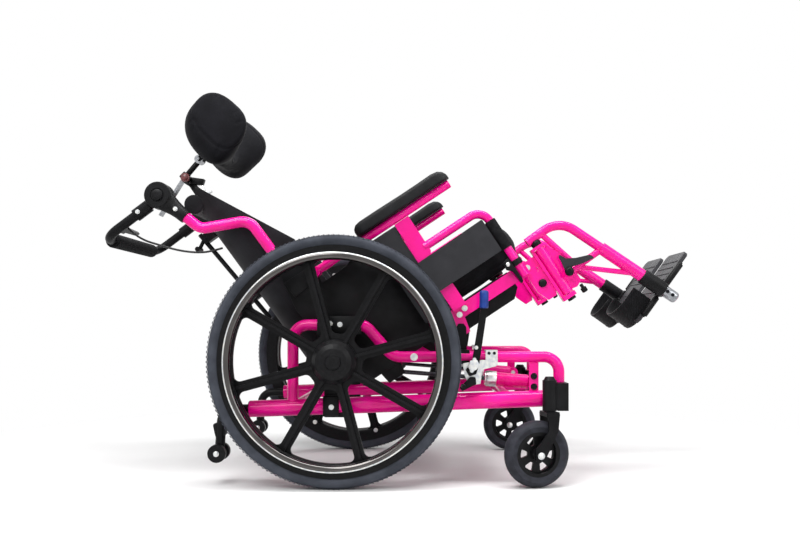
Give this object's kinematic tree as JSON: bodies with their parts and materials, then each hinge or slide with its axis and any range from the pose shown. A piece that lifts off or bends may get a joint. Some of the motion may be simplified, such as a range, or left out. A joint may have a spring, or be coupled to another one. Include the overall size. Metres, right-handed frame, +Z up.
{
  "type": "tilt in space wheelchair",
  "caption": "Attendant wheelchair whose whole seat tilts back on a wheeled base, with mag wheels, swing-away leg hangers, flip-back arms, headrest and push bar.",
  "frame": {"origin": "on the floor, under the middle of the bounding box", "axes": "+X forward, +Y to the sitter's left, +Z up"},
  "size_m": [1.3934, 0.644, 0.9214],
  "materials": {
    "pink_frame": "gloss powder coat",
    "pink_sleeve": "gloss sleeve",
    "strut_rod": "satin",
    "grey_tyre": "matt rubber",
    "caster_tyre": "matt rubber",
    "polished_handrim": "polished",
    "wheel_nylon": "moulded",
    "zinc_plate": "zinc plated",
    "blue_grip": "dipped vinyl",
    "black_cover": "stretch fabric",
    "arm_pad_foam": "skinned foam",
    "grip_foam": "closed cell foam",
    "guard_plastic": "textured",
    "footplate_plastic": "moulded",
    "shell_plastic": "moulded",
    "cable_jacket": "extruded",
    "handle_plastic": "satin",
    "hub_plastic": "moulded",
    "black_steel": "satin powder coat"
  },
  "bodies": {
    "base": {"base_frame_right": "pink_frame", "base_frame_left": "pink_frame", "base_cross_tubes": "pink_frame", "axle_mounts": "black_steel", "anti_tip_tubes": "black_steel", "caster_housings": "hub_plastic", "lock_mounts": "zinc_plate", "tilt_brackets": "black_steel"},
    "seat": {"seat_frame": "pink_frame", "seat_pan": "shell_plastic", "seat_cushion": "black_cover", "arm_posts": "pink_frame", "skirt_guards": "guard_plastic", "back_canes": "pink_frame", "back_shell": "shell_plastic", "back_cushion": "black_cover", "accessory_bar": "black_steel", "handle_hubs": "hub_plastic", "headrest_mount": "black_steel", "hanger_pins": "black_steel", "release_cable": "cable_jacket"},
    "strut_tubes": {"strut_tubes": "pink_sleeve"},
    "strut_rods": {"strut_rods": "strut_rod"},
    "rear_wheel_right": {"tyre_right": "grey_tyre", "mag_wheel_right": "wheel_nylon", "handrim_right": "polished_handrim"},
    "caster_right": {"caster_fork_right": "black_steel"},
    "caster_wheel_right": {"caster_wheel_right": "wheel_nylon", "caster_tyre_right": "caster_tyre"},
    "anti_tip_wheel_right": {"anti_tip_wheel_right": "wheel_nylon"},
    "lock_lever_right": {"lock_lever_right": "black_steel", "lock_grip_right": "blue_grip"},
    "lock_shoe_right": {"lock_shoe_right": "black_steel"},
    "arm_right": {"arm_tube_right": "pink_frame", "arm_pad_right": "arm_pad_foam"},
    "hanger_right": {"hanger_right": "pink_frame", "footplate_clamp_right": "black_steel"},
    "hanger_lever_right": {"hanger_lever_right": "black_steel"},
    "footplate_right": {"footplate_right": "footplate_plastic"},
    "rear_wheel_left": {"tyre_left": "grey_tyre", "mag_wheel_left": "wheel_nylon", "handrim_left": "polished_handrim"},
    "caster_left": {"caster_fork_left": "black_steel"},
    "caster_wheel_left": {"caster_wheel_left": "wheel_nylon", "caster_tyre_left": "caster_tyre"},
    "anti_tip_wheel_left": {"anti_tip_wheel_left": "wheel_nylon"},
    "lock_lever_left": {"lock_lever_left": "black_steel", "lock_grip_left": "blue_grip"},
    "lock_shoe_left": {"lock_shoe_left": "black_steel"},
    "arm_left": {"arm_tube_left": "pink_frame", "arm_pad_left": "arm_pad_foam"},
    "hanger_left": {"hanger_left": "pink_frame", "footplate_clamp_left": "black_steel"},
    "hanger_lever_left": {"hanger_lever_left": "black_steel"},
    "footplate_left": {"footplate_left": "footplate_plastic"},
    "handle": {"push_handle": "handle_plastic", "handle_grip": "grip_foam"},
    "trigger": {"release_trigger": "black_steel"},
    "headrest_bar": {"headrest_bar": "black_steel"},
    "headrest": {"headrest_pad": "black_cover"}
  },
  "joints": [
    {"name": "seat_tilt", "type": "hinge", "parent": "base", "child": "seat", "pos_m": [0.1542, 0, 0.352], "axis": [0, -1, 0], "range_deg": [-33.5, 11.5]},
    {"name": "strut_swing", "type": "hinge", "parent": "base", "child": "strut_tubes", "pos_m": [0.3182, 0, 0.23], "axis": [0, -1, 0], "range_deg": [-15.8, 5.5]},
    {"name": "strut_slide", "type": "slide", "parent": "strut_tubes", "child": "strut_rods", "axis": [-0.997, 0, 0.0774], "range_m": [-0.0188, 0.0545]},
    {"name": "rear_wheel_spin_right", "type": "hinge", "parent": "base", "child": "rear_wheel_right", "pos_m": [-0.1308, -0.28, 0.2815], "axis": [0, 1, 0], "continuous": true},
    {"name": "caster_swivel_right", "type": "hinge", "parent": "base", "child": "caster_right", "pos_m": [0.3492, -0.261, 0.2], "axis": [0, 0, 1], "continuous": true},
    {"name": "caster_spin_right", "type": "hinge", "parent": "caster_right", "child": "caster_wheel_right", "pos_m": [0.31888, -0.26744, 0.075], "axis": [-0.2079, 0.9781, 0], "continuous": true},
    {"name": "anti_tip_spin_right", "type": "hinge", "parent": "base", "child": "anti_tip_wheel_right", "pos_m": [-0.4008, -0.225, 0.072], "axis": [0, 1, 0], "continuous": true},
    {"name": "wheel_lock_right", "type": "hinge", "parent": "base", "child": "lock_lever_right", "pos_m": [0.1752, -0.252, 0.26], "axis": [0, 1, 0], "range_deg": [0, 55]},
    {"name": "lock_shoe_swing_right", "type": "hinge", "parent": "base", "child": "lock_shoe_right", "pos_m": [0.1782, -0.254, 0.238], "axis": [0, 1, 0], "range_deg": [0, 24.9]},
    {"name": "arm_flip_right", "type": "hinge", "parent": "seat", "child": "arm_right", "pos_m": [-0.18116, -0.217, 0.48493], "axis": [0, -1, 0], "range_deg": [0, 90]},
    {"name": "hanger_swing_right", "type": "hinge", "parent": "seat", "child": "hanger_right", "pos_m": [0.34731, -0.198, 0.52173], "axis": [0.5519, 0, -0.8339], "range_deg": [0, 80]},
    {"name": "hanger_release_right", "type": "hinge", "parent": "hanger_right", "child": "hanger_lever_right", "pos_m": [0.40128, -0.215, 0.48549], "axis": [0, -1, 0], "range_deg": [0, 18], "stiffness_Nm_per_rad": 0.3, "springref_deg": -11.46},
    {"name": "footplate_flip_right", "type": "hinge", "parent": "hanger_right", "child": "footplate_right", "pos_m": [0.57396, -0.172, 0.36954], "axis": [0.5819, 0, 0.8133], "range_deg": [0, 88]},
    {"name": "rear_wheel_spin_left", "type": "hinge", "parent": "base", "child": "rear_wheel_left", "pos_m": [-0.1308, 0.28, 0.2815], "axis": [0, 1, 0], "continuous": true},
    {"name": "caster_swivel_left", "type": "hinge", "parent": "base", "child": "caster_left", "pos_m": [0.3492, 0.261, 0.2], "axis": [0, 0, 1], "continuous": true},
    {"name": "caster_spin_left", "type": "hinge", "parent": "caster_left", "child": "caster_wheel_left", "pos_m": [0.31828, 0.26316, 0.075], "axis": [0.0698, 0.9976, 0], "continuous": true},
    {"name": "anti_tip_spin_left", "type": "hinge", "parent": "base", "child": "anti_tip_wheel_left", "pos_m": [-0.4008, 0.225, 0.072], "axis": [0, 1, 0], "continuous": true},
    {"name": "wheel_lock_left", "type": "hinge", "parent": "base", "child": "lock_lever_left", "pos_m": [0.1752, 0.252, 0.26], "axis": [0, 1, 0], "range_deg": [0, 55]},
    {"name": "lock_shoe_swing_left", "type": "hinge", "parent": "base", "child": "lock_shoe_left", "pos_m": [0.1782, 0.254, 0.238], "axis": [0, 1, 0], "range_deg": [0, 24.9]},
    {"name": "arm_flip_left", "type": "hinge", "parent": "seat", "child": "arm_left", "pos_m": [-0.18116, 0.217, 0.48493], "axis": [0, -1, 0], "range_deg": [0, 90]},
    {"name": "hanger_swing_left", "type": "hinge", "parent": "seat", "child": "hanger_left", "pos_m": [0.34731, 0.198, 0.52173], "axis": [-0.5519, 0, 0.8339], "range_deg": [0, 80]},
    {"name": "hanger_release_left", "type": "hinge", "parent": "hanger_left", "child": "hanger_lever_left", "pos_m": [0.40128, 0.215, 0.48549], "axis": [0, -1, 0], "range_deg": [0, 18], "stiffness_Nm_per_rad": 0.3, "springref_deg": -11.46},
    {"name": "footplate_flip_left", "type": "hinge", "parent": "hanger_left", "child": "footplate_left", "pos_m": [0.57396, 0.172, 0.36954], "axis": [-0.5819, 0, -0.8133], "range_deg": [0, 88]},
    {"name": "handle_angle", "type": "hinge", "parent": "seat", "child": "handle", "pos_m": [-0.5488, 0, 0.6635], "axis": [0, 1, 0], "range_deg": [-40, 40]},
    {"name": "trigger_squeeze", "type": "hinge", "parent": "handle", "child": "trigger", "pos_m": [-0.6448, -0.151, 0.5915], "axis": [-0.6, 0, 0.8], "range_deg": [0, 7], "stiffness_Nm_per_rad": 0.5, "springref_deg": -11.46},
    {"name": "headrest_height", "type": "slide", "parent": "seat", "child": "headrest_bar", "axis": [0.5337, 0, 0.8457], "range_m": [0, 0.05]},
    {"name": "headrest_tilt", "type": "hinge", "parent": "headrest_bar", "child": "headrest", "pos_m": [-0.5078, 0, 0.787], "axis": [0, 1, 0], "range_deg": [-20, 20]}
  ],
  "couplings": [
    {"joint": "strut_swing", "follows": "seat_tilt", "ratio": 0.467},
    {"joint": "strut_slide", "follows": "seat_tilt", "m_per_rad": -0.0928},
    {"joint": "lock_shoe_swing_right", "follows": "wheel_lock_right", "ratio": 0.45},
    {"joint": "lock_shoe_swing_left", "follows": "wheel_lock_left", "ratio": 0.45}
  ]
}
